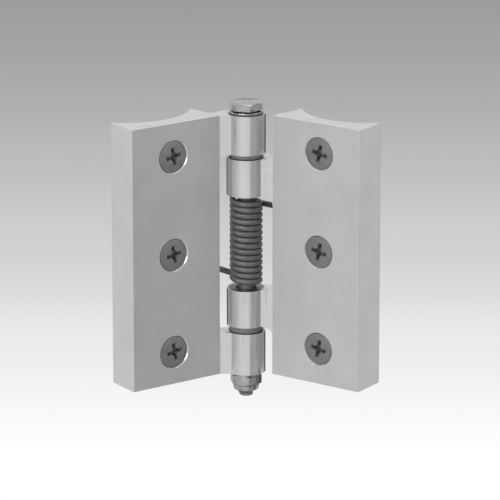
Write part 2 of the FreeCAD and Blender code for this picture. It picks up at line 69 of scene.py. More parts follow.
def setCamera():
    turn, rise = math.radians(cameraView["azimuth"]), math.radians(cameraView["elevation"])
    back = Vector((math.sin(turn) * math.cos(rise), -math.cos(turn) * math.cos(rise), math.sin(rise)))
    right = Vector((math.cos(turn), math.sin(turn), 0))
    data = bpy.data.cameras.new("photoCamera")
    data.lens, data.sensor_width = cameraView["lens"], cameraView["sensor"]
    data.clip_start, data.clip_end = 0.05, 20
    camera = bpy.data.objects.new("photoCamera", data)
    bpy.context.scene.collection.objects.link(camera)
    camera.location = cameraView["aim"] + back * cameraView["distance"] + right * cameraView["slide"]
    camera.location.z += cameraView["lift"]
    camera.rotation_mode = "QUATERNION"
    camera.rotation_quaternion = (-back).to_track_quat("-Z", "Y")
    bpy.context.scene.camera = camera


setCamera()
print("camera set")


# Colours are written as on a colour card and turned to linear here
def linear(hexColour):
    channels = [int(hexColour[i:i + 2], 16) / 255 for i in (1, 3, 5)]
    return tuple(c / 12.92 if c <= 0.04045 else ((c + 0.055) / 1.055) ** 2.4 for c in channels) + (1.0,)


# Adds one node; settings are its properties, sockets its inputs by name, and a link is another node's output
def addNode(tree, kind, settings=None, sockets=None):
    node = tree.nodes.new(kind)
    for name, value in (settings or {}).items():
        setattr(node, name, value)
    for name, value in (sockets or {}).items():
        if isinstance(value, bpy.types.NodeSocket):
            tree.links.new(value, node.inputs[name])
        else:
            node.inputs[name].default_value = value
    return node


def newMaterial(name):
    material = bpy.data.materials.new(name)
    material.use_nodes = True
    tree = material.node_tree
    tree.nodes.clear()
    return material, tree


def finishMaterial(tree, sockets):
    shader = addNode(tree, "ShaderNodeBsdfPrincipled", None, sockets)
    addNode(tree, "ShaderNodeOutputMaterial", None, {"Surface": shader.outputs["BSDF"]})


def fillRamp(ramp, stops):
    spots = ramp.color_ramp.elements
    while len(spots) < len(stops):
        spots.new(0.5)
    for spot, (place, colour) in zip(spots, stops):
        spot.position = place
        spot.color = colour


# Stage: a pale floor far below, and a room whose brightness depends on the direction round the pin
stageLook = {
    "floorHeight": -0.35,
    "floorSize": 12.0,
    "floorPaint": "#d8d8d8",
    # metres behind the pin, and the floor's colour there
    "fade": ((0.80, "#ffffff"), (0.86, "#fafafa"), (0.97, "#efefef"), (1.07, "#e7e7e7"), (1.12, "#dedede"),
             (1.21, "#d3d3d3"), (1.29, "#cecece"), (1.47, "#bebebe"), (1.66, "#afafaf"), (1.82, "#a6a6a6"),
             (2.10, "#9a9a9a")),
    # degrees to the right of the front, and how bright the room is there in polished metal
    "room": ((-180, 0.60), (-150, 0.62), (-132, 0.30), (-118, 0.87), (-98, 0.87), (-75, 0.77), (-48, 0.72),
             (-30, 0.92), (20, 0.92), (30, 0.42), (60, 0.48), (76, 0.54), (82, 0.06), (93, 0.06), (99, 0.74),
             (118, 0.76), (132, 0.30), (150, 0.60), (180, 0.60)),
    "ceiling": 0.88,
    "ceilingRise": (0.05, 0.3),  # how steeply up the room gives way to the ceiling
}


# Coordinates turned to the view's side: X to the right, Y away
def turnedToView(tree, vector):
    turn = addNode(tree, "ShaderNodeMapping", {"vector_type": "POINT"},
                   {"Vector": vector, "Rotation": (0, 0, -math.radians(cameraView["azimuth"]))})
    return addNode(tree, "ShaderNodeSeparateXYZ", None, {"Vector": turn.outputs["Vector"]})


# The room's brightness round the pin, as metal sees it
def roomGlow(tree, split):
    front = addNode(tree, "ShaderNodeMath", {"operation": "MULTIPLY"}, {0: split.outputs["Y"], 1: -1.0})
    angle = addNode(tree, "ShaderNodeMath", {"operation": "ARCTAN2"},
                    {0: split.outputs["X"], 1: front.outputs["Value"]})
    share = addNode(tree, "ShaderNodeMapRange", None,
                    {"Value": angle.outputs["Value"], "From Min": -math.pi, "From Max": math.pi})
    ramp = addNode(tree, "ShaderNodeValToRGB", None, {"Fac": share.outputs["Result"]})
    fillRamp(ramp, [((degrees + 180) / 360, (level, level, level, 1)) for degrees, level in stageLook["room"]])
    return ramp.outputs["Color"]


def makeStage():
    bm = bmesh.new()
    bmesh.ops.create_grid(bm, x_segments=1, y_segments=1, size=stageLook["floorSize"])
    bmesh.ops.translate(bm, verts=bm.verts, vec=(0, 0, stageLook["floorHeight"]))
    mesh = bpy.data.meshes.new("studioFloor")
    bm.to_mesh(mesh)
    bm.free()
    floor = bpy.data.objects.new("studioFloor", mesh)
    bpy.context.scene.collection.objects.link(floor)
    material, tree = newMaterial("paintedStudioFloor")
    coords = addNode(tree, "ShaderNodeTexCoord")
    split = turnedToView(tree, coords.outputs["Object"])
    fade = stageLook["fade"]
    nearest, farthest = fade[0][0], fade[-1][0]
    depth = addNode(tree, "ShaderNodeMapRange", None,
                    {"Value": split.outputs["Y"], "From Min": nearest, "From Max": farthest})
    ramp = addNode(tree, "ShaderNodeValToRGB", None, {"Fac": depth.outputs["Result"]})
    fillRamp(ramp, [((place - nearest) / (farthest - nearest), linear(colour)) for place, colour in fade])
    path = addNode(tree, "ShaderNodeLightPath")
    glow = addNode(tree, "ShaderNodeMix", {"data_type": "RGBA"},
                   {"Factor": path.outputs["Is Glossy Ray"], 6: ramp.outputs["Color"], 7: roomGlow(tree, split)})
    matte = addNode(tree, "ShaderNodeBsdfDiffuse", None, {"Color": linear(stageLook["floorPaint"])})
    shine = addNode(tree, "ShaderNodeEmission", None, {"Color": glow.outputs[2], "Strength": 1.0})
    either = addNode(tree, "ShaderNodeMath", {"operation": "MAXIMUM"},
                     {0: path.outputs["Is Camera Ray"], 1: path.outputs["Is Glossy Ray"]})
    seen = addNode(tree, "ShaderNodeMixShader", None,
                   {0: either.outputs["Value"], 1: matte.outputs["BSDF"], 2: shine.outputs["Emission"]})
    addNode(tree, "ShaderNodeOutputMaterial", None, {"Surface": seen.outputs["Shader"]})
    mesh.materials.append(material)


makeStage()

# Light: a large soft lamp from the left, a weaker one from the right, one above, and an even room
lamps = {
    "left": {"place": (-1.3, -0.6, 0.6), "size": 0.9, "power": 9},
    "right": {"place": (0.9, -1.5, 0.5), "size": 0.9, "power": 4},
    "above": {"place": (0.3, 0.2, 1.5), "size": 1.0, "power": 6},
}
roomLevel = {
    "matte": 0.75,  # as matt surfaces are lit by it
    "seen": 0.33,  # as it shows above the floor
}


def setLights():
    world = bpy.data.worlds.new("softRoom")
    world.use_nodes = True
    tree = world.node_tree
    tree.nodes.clear()
    coords = addNode(tree, "ShaderNodeTexCoord")
    split = turnedToView(tree, coords.outputs["Generated"])
    low, high = stageLook["ceilingRise"]
    height = addNode(tree, "ShaderNodeMapRange", {"interpolation_type": "SMOOTHSTEP"},
                     {"Value": split.outputs["Z"], "From Min": low, "From Max": high})
    ceiling, even, plain = ((level, level, level, 1) for level in (
        stageLook["ceiling"], roomLevel["matte"], roomLevel["seen"]))
    room = addNode(tree, "ShaderNodeMix", {"data_type": "RGBA"},
                   {"Factor": height.outputs["Result"], 6: roomGlow(tree, split), 7: ceiling})
    path = addNode(tree, "ShaderNodeLightPath")
    matte = addNode(tree, "ShaderNodeMix", {"data_type": "RGBA"},
                    {"Factor": path.outputs["Is Glossy Ray"], 6: even, 7: room.outputs[2]})
    seen = addNode(tree, "ShaderNodeMix", {"data_type": "RGBA"},
                   {"Factor": path.outputs["Is Camera Ray"], 6: matte.outputs[2], 7: plain})
    sky = addNode(tree, "ShaderNodeBackground", None, {"Color": seen.outputs[2], "Strength": 1.0})
    addNode(tree, "ShaderNodeOutputWorld", None, {"Surface": sky.outputs["Background"]})
    bpy.context.scene.world = world
    for name, spec in lamps.items():
        data = bpy.data.lights.new(name + "Lamp", "AREA")
        data.shape = "SQUARE"
        data.size = spec["size"]
        data.energy = spec["power"]
        lamp = bpy.data.objects.new(name + "Lamp", data)
        lamp.location = spec["place"]
        lamp.rotation_mode = "QUATERNION"
        lamp.rotation_quaternion = (hinge["pin"] * mm - lamp.location).to_track_quat("-Z", "Y")
        bpy.context.scene.collection.objects.link(lamp)


setLights()
bpy.context.scene.view_settings.view_transform = "Standard"
print("stage and lights set")

# Mill-finish extruded aluminium: pale and satin, with fine die lines along the extrusion and a few long scratches
aluminiumLook = {
    "colour": "#d0d0cf",
    "scuffed": "#cacac9",
    "scratched": "#a4a4a3",
    "metallic": 0.9,
    "roughness": (0.19, 0.31),  # along the die lines, from smoothest to roughest
    "lineWidth": 0.5,  # mm between die lines, drawn coarser than real so that they show
    "lineStretch": 0.02,
    "lineDepth": 0.04,  # mm
    "patch": 14,  # mm, size of the cloudy patches
    "scratchEach": 2.2,  # mm between scratches
    "scratchStretch": 0.06,
    "scratchShare": 0.6,
    "rubbed": (12, 8),  # mm from the pin, where the scratches start and where they are all there
}
# Painted shade: a dark, rougher, less metallic narrow upright band on each side of the knuckles, where the two leaves
# nearly touch
shadeBandLook = {
    "colour": "#3c3c3b",
    "front": (2.9, 2.0),  # mm in front of the pin, where the band starts and where it is full
    "back": (-1.2, -0.3),
    "out": (8.2, 7.6),  # mm from the pin, so that it stays on the knuckles
    "rougher": 0.6,
    "duller": 0.4,  # taken from the specular level
}


# Object coordinates counted from the pin's axis, and the distance from it
def fromPinAxis(tree, coords):
    pin = hinge["pin"] * mm
    across = addNode(tree, "ShaderNodeVectorMath", {"operation": "MULTIPLY_ADD"},
                     {0: coords.outputs["Object"], 1: (1, 1, 0), 2: (-pin.x, -pin.y, 0)})
    distance = addNode(tree, "ShaderNodeVectorMath", {"operation": "LENGTH"}, {0: across.outputs["Vector"]})
    return across.outputs["Vector"], distance.outputs["Value"]


def millAluminium():
    look = aluminiumLook
    material, tree = newMaterial("millFinishAluminium")
    coords = addNode(tree, "ShaderNodeTexCoord")
    across, distance = fromPinAxis(tree, coords)
    stretched = addNode(tree, "ShaderNodeMapping", None,
                        {"Vector": coords.outputs["Object"], "Scale": (1.0, 1.0, look["lineStretch"])})
    lines = addNode(tree, "ShaderNodeTexNoise", None,
                    {"Vector": stretched.outputs["Vector"], "Scale": 0.5 / (look["lineWidth"] * mm), "Detail": 3.0,
                     "Roughness": 0.6})
    patches = addNode(tree, "ShaderNodeTexNoise", None,
                      {"Vector": coords.outputs["Object"], "Scale": 1 / (look["patch"] * mm), "Detail": 3.0,
                       "Roughness": 0.5})
    tint = addNode(tree, "ShaderNodeValToRGB", None, {"Fac": patches.outputs["Fac"]})
    fillRamp(tint, ((0.3, linear(look["scuffed"])), (0.6, linear(look["colour"]))))
    # scratches run up and down, and only near the pin, where the knuckles rub
    long = addNode(tree, "ShaderNodeMapping", None,
                   {"Vector": coords.outputs["Object"], "Scale": (1.0, 1.0, look["scratchStretch"])})
    scratch = addNode(tree, "ShaderNodeTexNoise", None,
                      {"Vector": long.outputs["Vector"], "Scale": 1 / (look["scratchEach"] * mm), "Detail": 5.0,
                       "Roughness": 0.75})
    thin = addNode(tree, "ShaderNodeMapRange", None,
                   {"Value": scratch.outputs["Fac"], "From Min": 0.58, "From Max": 0.66})
    start, full = look["rubbed"]
    near = addNode(tree, "ShaderNodeMapRange", None,
                   {"Value": distance, "From Min": start * mm, "From Max": full * mm})
    rubbed = addNode(tree, "ShaderNodeMath", {"operation": "MULTIPLY"},
                     {0: thin.outputs["Result"], 1: near.outputs["Result"]})
    share = addNode(tree, "ShaderNodeMath", {"operation": "MULTIPLY"},
                    {0: rubbed.outputs["Value"], 1: look["scratchShare"]})
    worn = addNode(tree, "ShaderNodeMix", {"data_type": "RGBA"},
                   {"Factor": share.outputs["Value"], 6: tint.outputs["Color"], 7: linear(look["scratched"])})
    # painted shade band: one fade towards the front, one towards the back and one outwards
    front = math.radians(-90) - hinge["fold"] / 2
    towardFront = addNode(tree, "ShaderNodeVectorMath", {"operation": "DOT_PRODUCT"},
                          {0: across, 1: (math.cos(front), math.sin(front), 0)})
    shadeBand = None
    for side, value in (("front", towardFront.outputs["Value"]), ("back", towardFront.outputs["Value"]),
                        ("out", distance)):
        start, full = shadeBandLook[side]
        fade = addNode(tree, "ShaderNodeMapRange", None,
                       {"Value": value, "From Min": start * mm, "From Max": full * mm}).outputs["Result"]
        shadeBand = addNode(tree, "ShaderNodeMath", {"operation": "MULTIPLY"},
                       {0: shadeBand, 1: fade}).outputs["Value"] if shadeBand else fade
    # the painted shade band darkens the colour and makes the metal rougher, less metallic and duller
    colour = addNode(tree, "ShaderNodeMix", {"data_type": "RGBA"},
                     {"Factor": shadeBand, 6: worn.outputs[2], 7: linear(shadeBandLook["colour"])})
    smoothest, roughest = look["roughness"]
    rough = addNode(tree, "ShaderNodeMapRange", None,
                    {"Value": lines.outputs["Fac"], "To Min": smoothest, "To Max": roughest})
    bump = addNode(tree, "ShaderNodeBump", None,
                   {"Height": lines.outputs["Fac"], "Strength": 0.15, "Distance": look["lineDepth"] * mm})
    bare = addNode(tree, "ShaderNodeMath", {"operation": "MULTIPLY_ADD"},
                   {0: shadeBand, 1: -look["metallic"], 2: look["metallic"]})
    dull = addNode(tree, "ShaderNodeMath", {"operation": "MULTIPLY_ADD"},
                   {0: shadeBand, 1: shadeBandLook["rougher"], 2: rough.outputs["Result"]})
    sheen = addNode(tree, "ShaderNodeMath", {"operation": "MULTIPLY_ADD"}, {0: shadeBand, 1: -shadeBandLook["duller"], 2: 0.5})
    finishMaterial(tree, {"Base Color": colour.outputs[2], "Metallic": bare.outputs["Value"],
                          "Roughness": dull.outputs["Value"], "Specular IOR Level": sheen.outputs["Value"],
                          "Normal": bump.outputs["Normal"]})
    return material


# Sawn ends and milled notches: brighter metal with fine cutter marks, with painted shade round the bore, where the
# spring above darkens the knuckles' ends
cutLook = {
    "hollow": "#c6c6c5",
    "crest": "#dadad9",
    # colour of the painted shade round the bore
    "boreShade": "#5c5c5b",
    "metallic": 0.9,
    "roughness": 0.3,
    "markWidth": 0.625,  # mm, drawn coarser than real so that they show
    "markStretch": 0.08,
    "markTurn": math.radians(38),
    "markDepth": 0.04,  # mm
    "boreShadeReach": (7.1, 6.5),  # mm from the pin, where the painted shade starts and where it is full
}


def cutAluminium():
    look = cutLook
    material, tree = newMaterial("sawnAluminium")
    coords = addNode(tree, "ShaderNodeTexCoord")
    stretched = addNode(tree, "ShaderNodeMapping", None,
                        {"Vector": coords.outputs["Object"], "Rotation": (0, 0, look["markTurn"]),
                         "Scale": (1.0, look["markStretch"], 1.0)})
    marks = addNode(tree, "ShaderNodeTexNoise", None,
                    {"Vector": stretched.outputs["Vector"], "Scale": 1 / (look["markWidth"] * mm), "Detail": 3.0,
                     "Roughness": 0.65})
    tint = addNode(tree, "ShaderNodeValToRGB", None, {"Fac": marks.outputs["Fac"]})
    fillRamp(tint, ((0.35, linear(look["hollow"])), (0.6, linear(look["crest"]))))
    # painted shade round the bore, full near the pin
    distance = fromPinAxis(tree, coords)[1]
    start, full = look["boreShadeReach"]
    boreShade = addNode(tree, "ShaderNodeMapRange", None,
                   {"Value": distance, "From Min": start * mm, "From Max": full * mm})
    colour = addNode(tree, "ShaderNodeMix", {"data_type": "RGBA"},
                     {"Factor": boreShade.outputs["Result"], 6: tint.outputs["Color"], 7: linear(look["boreShade"])})
    bump = addNode(tree, "ShaderNodeBump", None,
                   {"Height": marks.outputs["Fac"], "Strength": 0.3, "Distance": look["markDepth"] * mm})
    finishMaterial(tree, {"Base Color": colour.outputs[2], "Metallic": look["metallic"],
                          "Roughness": look["roughness"], "Normal": bump.outputs["Normal"]})
    return material


# Small parts: a base colour with cloudy stains and fine marks; grain and patch are the sizes of those in mm
def stainedFinish(name, colour, stain, roughness, grain, patch, metallic):
    material, tree = newMaterial(name)
    coords = addNode(tree, "ShaderNodeTexCoord")
    stains = addNode(tree, "ShaderNodeTexNoise", None,
                     {"Vector": coords.outputs["Object"], "Scale": 1 / (patch * mm), "Detail": 5.0,
                      "Roughness": 0.6})
    tint = addNode(tree, "ShaderNodeValToRGB", None, {"Fac": stains.outputs["Fac"]})
    fillRamp(tint, ((0.35, linear(stain)), (0.6, linear(colour))))
    marks = addNode(tree, "ShaderNodeTexNoise", None,
                    {"Vector": coords.outputs["Object"], "Scale": 1 / (grain * mm), "Detail": 3.0,
                     "Roughness": 0.7})
    rough = addNode(tree, "ShaderNodeMapRange", None,
                    {"Value": marks.outputs["Fac"], "To Min": roughness * 0.75, "To Max": roughness * 1.25})
    bump = addNode(tree, "ShaderNodeBump", None,
                   {"Height": marks.outputs["Fac"], "Strength": 0.3, "Distance": 0.03 * mm})
    finishMaterial(tree, {"Base Color": tint.outputs["Color"], "Metallic": metallic,
                          "Roughness": rough.outputs["Result"], "Normal": bump.outputs["Normal"]})
    return material


leafFinish, cutFinish = millAluminium(), cutAluminium()
# bright plating with faint stains, on the bolt, the nut and the steel washers
zincPlate = stainedFinish("zincPlatedSteel", "#b6b6b4", "#9c9c9a", roughness=0.16, grain=0.5, patch=3.0, metallic=1.0)
# soft grey plating that mirrors nothing clearly, on the screws and below the bolt's head
dullPlate = stainedFinish("dullPlatedSteel", "#80807f", "#777776", roughness=0.42, grain=0.4, patch=2.5, metallic=0.6)
# dark drawn wire with an oil film
springWire = stainedFinish("oiledSpringWire", "#707070", "#5c5c5c", roughness=0.5, grain=0.4, patch=2.0, metallic=0.55)
# nearly black painted shade, in the gap under the bolt's head and along the notches' broken edges
paintedShadeBlack = stainedFinish("paintedShadeDark", "#242424", "#1a1a1a", roughness=0.5, grain=0.4, patch=2.0, metallic=1.0)
# moulded nylon with a fine matt grain
greyNylon = stainedFinish("mouldedGreyNylon", "#767676", "#6b6b6b", roughness=0.5, grain=0.25, patch=4.0, metallic=0.0)
paleNylon = stainedFinish("mouldedPaleNylon", "#a9a9a4", "#9b9b96", roughness=0.45, grain=0.25, patch=4.0, metallic=0.0)
print("materials made")


# Puts a finished bmesh, drawn in mm about the pin, into the scene as a piece on a body
def addPiece(name, bm, body, material, replaced, smoothUnder=38):
    bmesh.ops.remove_doubles(bm, verts=bm.verts, dist=0.0005)
    bmesh.ops.recalc_face_normals(bm, faces=bm.faces)
    bmesh.ops.scale(bm, vec=(mm, mm, mm), verts=bm.verts)
    bmesh.ops.translate(bm, vec=hinge["pin"] * mm, verts=bm.verts)
    mesh = bpy.data.meshes.new(name)
    bm.to_mesh(mesh)
    bm.free()
    if smoothUnder:
        mesh.shade_smooth()
        mesh.set_sharp_from_angle(angle=math.radians(smoothUnder))
    for each in material if isinstance(material, tuple) else (material,):
        mesh.materials.append(each)
    piece = bpy.data.objects.new(name, mesh)
    bpy.context.scene.collection.objects.link(piece)
    if body:
        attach(piece, body)
    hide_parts(replaced)
    return piece


# Turns a half section of (radius, height) round the pin; a closed section makes a ring
def turned(profile, steps=64, closed=False):
    bm = bmesh.new()
    corners = [bm.verts.new((radius, 0, height)) for radius, height in profile]
    edges = [bm.edges.new(pair) for pair in zip(corners, corners[1:])]
    if closed:
        edges.append(bm.edges.new((corners[-1], corners[0])))
    bmesh.ops.spin(bm, geom=corners + edges, cent=(0, 0, 0), axis=(0, 0, 1), angle=math.tau, steps=steps,
                   use_merge=True, use_duplicate=False)
    bmesh.ops.remove_doubles(bm, verts=bm.verts, dist=0.0005)
    bmesh.ops.recalc_face_normals(bm, faces=bm.faces)
    return bm


# A ring with softly broken corners
def turnedRing(inner, outer, low, high, soft):
    half = soft * 0.3  # how far in the middle of an outer corner lies
    return turned([(inner, low + soft), (inner + soft, low), (outer - soft, low), (outer - half, low + half),
                   (outer, low + soft), (outer, high - soft), (outer - half, high - half), (outer - soft, high),
                   (inner + soft, high), (inner, high - soft)], closed=True)


# Rings and sleeves on the bolt, in mm: body, slot, finish, outer radius, low end, high end and broken corner
ringBore, sleeveRadius = 3.225, 3.99
rings = {
    "headWasher": ("post_side", "bolt_steel", zincPlate, 6.4, 50.52, 51.08, 0.1),
    "nutWasher": ("post_side", "bolt_steel", zincPlate, 6.2, -50.9, -50.1, 0.12),
    "upperThrustWasher": ("post_side", "grey_nylon", greyNylon, 6.24, 33.35, 35.0, 0.15),
    "lowerThrustWasher": ("post_side", "grey_nylon", greyNylon, 6.24, -34.05, -31.7, 0.15),
    "bottomBushing": ("post_side", "grey_nylon", greyNylon, sleeveRadius, -50.1, -34.1, 0.15),
    "upperGateBushing": ("gate_side", "grey_nylon", greyNylon, sleeveRadius, 19.7, 33.3, 0.15),
    "lowerGateBushing": ("gate_side", "grey_nylon", greyNylon, sleeveRadius, -31.65, -18.05, 0.15),
}
ringNodes = {
    "headWasher": "head_washer", "nutWasher": "nut_washer", "upperThrustWasher": "upper_thrust_washer",
    "lowerThrustWasher": "lower_thrust_washer", "bottomBushing": "bottom_bushing",
    "upperGateBushing": "upper_gate_bushing", "lowerGateBushing": "lower_gate_bushing",
}

for name, (body, slotName, material, outer, low, high, soft) in rings.items():
    addPiece(name, turnedRing(ringBore, outer, low, high, soft), body, material, ringNodes[name])

# Top bushing: a sleeve in the knuckle with a thin flange on it
flange = {"rim": 6.2, "low": 35.05, "seat": 50.1, "top": 50.52, "soft": 0.1}


def topBushing():
    rim, seat, top, soft = flange["rim"], flange["seat"], flange["top"], flange["soft"]
    bm = turned([(ringBore, flange["low"]), (sleeveRadius, flange["low"]), (sleeveRadius, seat), (rim - soft, seat),
                 (rim, seat + soft), (rim, top - soft), (rim - soft, top), (ringBore, top)], closed=True)
    addPiece("topBushing", bm, "post_side", greyNylon, "top_bushing")


topBushing()
print("rings turned")


# Cuts one bmesh by another, or joins them, with a boolean and gives the result back
def combined(target, tool, operation):
    objects = []
    for label, bm in (("blank", target), ("tool", tool)):
        mesh = bpy.data.meshes.new(label)
        bm.to_mesh(mesh)
        bm.free()
        thing = bpy.data.objects.new(label, mesh)
        bpy.context.scene.collection.objects.link(thing)
        objects.append(thing)
    step = objects[0].modifiers.new("cut", "BOOLEAN")
    step.operation, step.solver, step.object = operation, "EXACT", objects[1]
    bpy.context.view_layer.update()
    result = bmesh.new()
    result.from_mesh(objects[0].evaluated_get(bpy.context.evaluated_depsgraph_get()).to_mesh())
    for thing in objects:
        data = thing.data
        bpy.data.objects.remove(thing)
        bpy.data.meshes.remove(data)
    return result


# Adds the geometry of one bmesh to another
def joined(bm, extra):
    mesh = bpy.data.meshes.new("extra")
    extra.to_mesh(mesh)
    extra.free()
    bm.from_mesh(mesh)
    bpy.data.meshes.remove(mesh)
    return bm


# Extrudes the only face of a bmesh into a solid
def lift(bm, vec):
    grown = bmesh.ops.extrude_face_region(bm, geom=bm.faces[:])
    bmesh.ops.translate(bm, verts=[v for v in grown["geom"] if isinstance(v, bmesh.types.BMVert)], vec=vec)
    bmesh.ops.recalc_face_normals(bm, faces=bm.faces)


# A hexagonal bar between two heights, its upright edges slightly broken
def hexBar(flats, low, high, turn, soft=0.15):
    bm = bmesh.new()
    bmesh.ops.create_circle(bm, cap_ends=True, segments=6, radius=flats / math.sqrt(3))
    # the circle's first corner is on Y
    bmesh.ops.rotate(bm, verts=bm.verts, matrix=Matrix.Rotation(turn - math.pi / 2, 3, "Z"))
    bmesh.ops.translate(bm, verts=bm.verts, vec=(0, 0, low))
    lift(bm, (0, 0, high - low))
    upright = [e for e in bm.edges if abs(e.verts[0].co.z - e.verts[1].co.z) > (high - low) / 2]
    bmesh.ops.bevel(bm, geom=upright, offset=soft, offset_type="OFFSET", segments=2, profile=0.5,
                    affect="EDGES", material=-1)
    bmesh.ops.recalc_face_normals(bm, faces=bm.faces)
    return bm


# One thread's ridge as a three-sided strip, wound from one height to the other and just clear of itself
def threadRidge(core, crest, pitch, low, high, steps=28):
    bm = bmesh.new()
    half = pitch * 0.44
    corners = [bm.verts.new(place) for place in ((core, 0, low), (crest, 0, low + half), (core, 0, low + 2 * half))]
    edges = [bm.edges.new((corners[i], corners[(i + 1) % 3])) for i in range(3)]
    count = int((high - low - 2 * half) / pitch * steps)
    bmesh.ops.spin(bm, geom=corners + edges, cent=(0, 0, 0), axis=(0, 0, 1), dvec=(0, 0, pitch / steps),
                   angle=math.tau * count / steps, steps=count, use_merge=False, use_duplicate=False)
    bmesh.ops.holes_fill(bm, edges=[e for e in bm.edges if e.is_boundary], sides=3)
    bmesh.ops.recalc_face_normals(bm, faces=bm.faces)
    return bm


# Leaves: one extruded section for both, in mm, drawn about the pin with x away from it and y into the leaf
leaf = {
    "face": 39.2,  # width of the flat front
    "gap": 10.9,  # from the pin to the front's inner edge
    "setOut": 1.75,  # from the pin back to the front
    "web": 7.0,  # thickness behind the screws
    "saddle": 24.2,  # radius of the hollow back
    "inset": 20.85,  # from the inner edge to the screws
    "tipInset": 2.2,  # from the inner edge to the saddle's inner tip
    "lean": -0.6,  # how far the outer side leans in
    "barrel": 7.3,  # radius of the knuckles
    "stripAngle": math.radians(5.7),  # where the slanted strip meets them
    "bore": 4.0,
    "round": 0.2,  # corners of the section
    "neckRound": 1.5,
    "tail": {"aside": 7.6, "height": 13.868, "radius": 1.29, "end": 14.9},  # the gate leaf's hole for the spring
    "rise": 37.6,  # between the screws
    "holeLift": {"post": -0.2, "gate": 1.0},  # middle screw, above mid height
}
countersink = {
    "halfAngle": math.radians(41),
    "mouth": 6.38,
    "flare": 0.87,  # the cutter is this much wider 1 mm above the face
    "throat": 3.3,
    "deep": 12,
}
# Notches between the knuckles: low end, high end, and whether each of them has the cutter's round corner
notches = {
    "post": ((-34.1, 35.05, True, True),),
    "gate": ((-60, -31.65, False, True), (-17.35, 19.0, True, True), (33.3, 60, True, False)),
}
notchEdge = {
    "round": 3.5,
    "break": 0.32,
    "from": 7.4,  # front edges lie farther from the pin than this
    "behind": 2.2,  # and not as far back as this
}


def leafBlank():
    bm = bmesh.new()
    screwX, saddleY = leaf["gap"] + leaf["inset"], leaf["setOut"] + leaf["web"] + leaf["saddle"]
    halfSaddle = leaf["face"] - leaf["inset"] + leaf["lean"]
    tipX = leaf["gap"] + leaf["tipInset"]
    tipY = saddleY - math.sqrt(leaf["saddle"] ** 2 - (leaf["inset"] - leaf["tipInset"]) ** 2)
    neckX = leaf["gap"] + leaf["tipInset"] * (leaf["barrel"] - leaf["setOut"]) / (tipY - leaf["setOut"])
    low = -hinge["leafHeight"] / 2

    def arc(start, centre, sweep, steps):
        ring = bmesh.ops.spin(bm, geom=[start], cent=(*centre, low), axis=(0, 0, 1), angle=sweep, steps=steps,
                              use_merge=False, use_duplicate=False)
        return next(v for v in ring["geom_last"] if isinstance(v, bmesh.types.BMVert))

    outer, inner, foot, neck, tip = (bm.verts.new((x, y, low)) for x, y in (
        (leaf["gap"] + leaf["face"], leaf["setOut"]), (leaf["gap"], leaf["setOut"]),
        (leaf["barrel"] * math.cos(leaf["stripAngle"]), -leaf["barrel"] * math.sin(leaf["stripAngle"])),
        (neckX, leaf["barrel"]), (tipX, tipY)))
    barrelEnd = arc(foot, (0, 0), -(math.radians(270) - leaf["stripAngle"]), 66)
    startAngle = math.atan2(tipY - saddleY, tipX - screwX)
    backAngle = -math.acos(halfSaddle / leaf["saddle"])
    back = arc(tip, (screwX, saddleY), backAngle - startAngle, 40)
    for pair in ((outer, inner), (inner, foot), (barrelEnd, neck), (neck, tip), (back, outer)):
        bm.edges.new(pair)
    bmesh.ops.contextual_create(bm, geom=bm.edges[:])
    bmesh.ops.bevel(bm, geom=[outer, inner, back, tip], offset=leaf["round"], offset_type="OFFSET", segments=3,
                    profile=0.5, affect="VERTICES", material=-1)
    bmesh.ops.bevel(bm, geom=[neck], offset=leaf["neckRound"], offset_type="OFFSET", segments=8, profile=0.5,
                    affect="VERTICES", material=-1)
    lift(bm, (0, 0, hinge["leafHeight"]))
    return bm


# Block that cuts one notch through the leaf
def notchBlock(low, high, roundLow, roundHigh):
    bm = bmesh.new()
    near, far = leaf["gap"], -1.5 * leaf["barrel"]
    corners = [bm.verts.new((x, -20, z)) for x, z in ((far, low), (near, low), (near, high), (far, high))]
    bm.faces.new(corners)
    rounded = [corner for corner, wanted in ((corners[1], roundLow), (corners[2], roundHigh)) if wanted]
    bmesh.ops.bevel(bm, geom=rounded, offset=notchEdge["round"], offset_type="OFFSET", segments=12, profile=0.5,
                    affect="VERTICES", material=-1)
    lift(bm, (0, 60, 0))
    return bm


# Breaks the notches' front edges and gives them the third material, painted shade that draws a dark line along them
def darkenNotches(bm):
    bmesh.ops.remove_doubles(bm, verts=bm.verts, dist=0.002)
    bmesh.ops.recalc_face_normals(bm, faces=bm.faces)
    top = hinge["leafHeight"] / 2 - 1
    fronts = []
    for edge in bm.edges:
        if len(edge.link_faces) == 2 and all(
                notchEdge["from"] < v.co.x < leaf["gap"] + 0.02 and v.co.y < notchEdge["behind"] and abs(v.co.z) < top
                for v in edge.verts):
            # one face looks along the notch's wall, the other to the front
            wall, front = sorted(abs(face.normal.y) for face in edge.link_faces)
            if wall < 0.02 and front > 0.3:
                fronts.append(edge)
    # painted shade: the broken edges take the near-black material
    bmesh.ops.bevel(bm, geom=fronts, offset=notchEdge["break"], offset_type="OFFSET", segments=1, profile=0.5,
                    affect="EDGES", clamp_overlap=True, material=2)


# Long curved faces are shaded smooth, and small ones across a stronger bend too
def shadeLeaf(bm):
    for face in bm.faces:
        face.smooth = True
        if face.material_index != 2:
            face.material_index = 1 if abs(face.normal.z) > 0.7 else 0
    for edge in bm.edges:
        if len(edge.link_faces) == 2:
            bend = math.degrees(edge.calc_face_angle(0))
            small = max(each.calc_area() for each in edge.link_faces) < 16  # square mm
            edge.smooth = bend < 9 or (small and bend < 32)


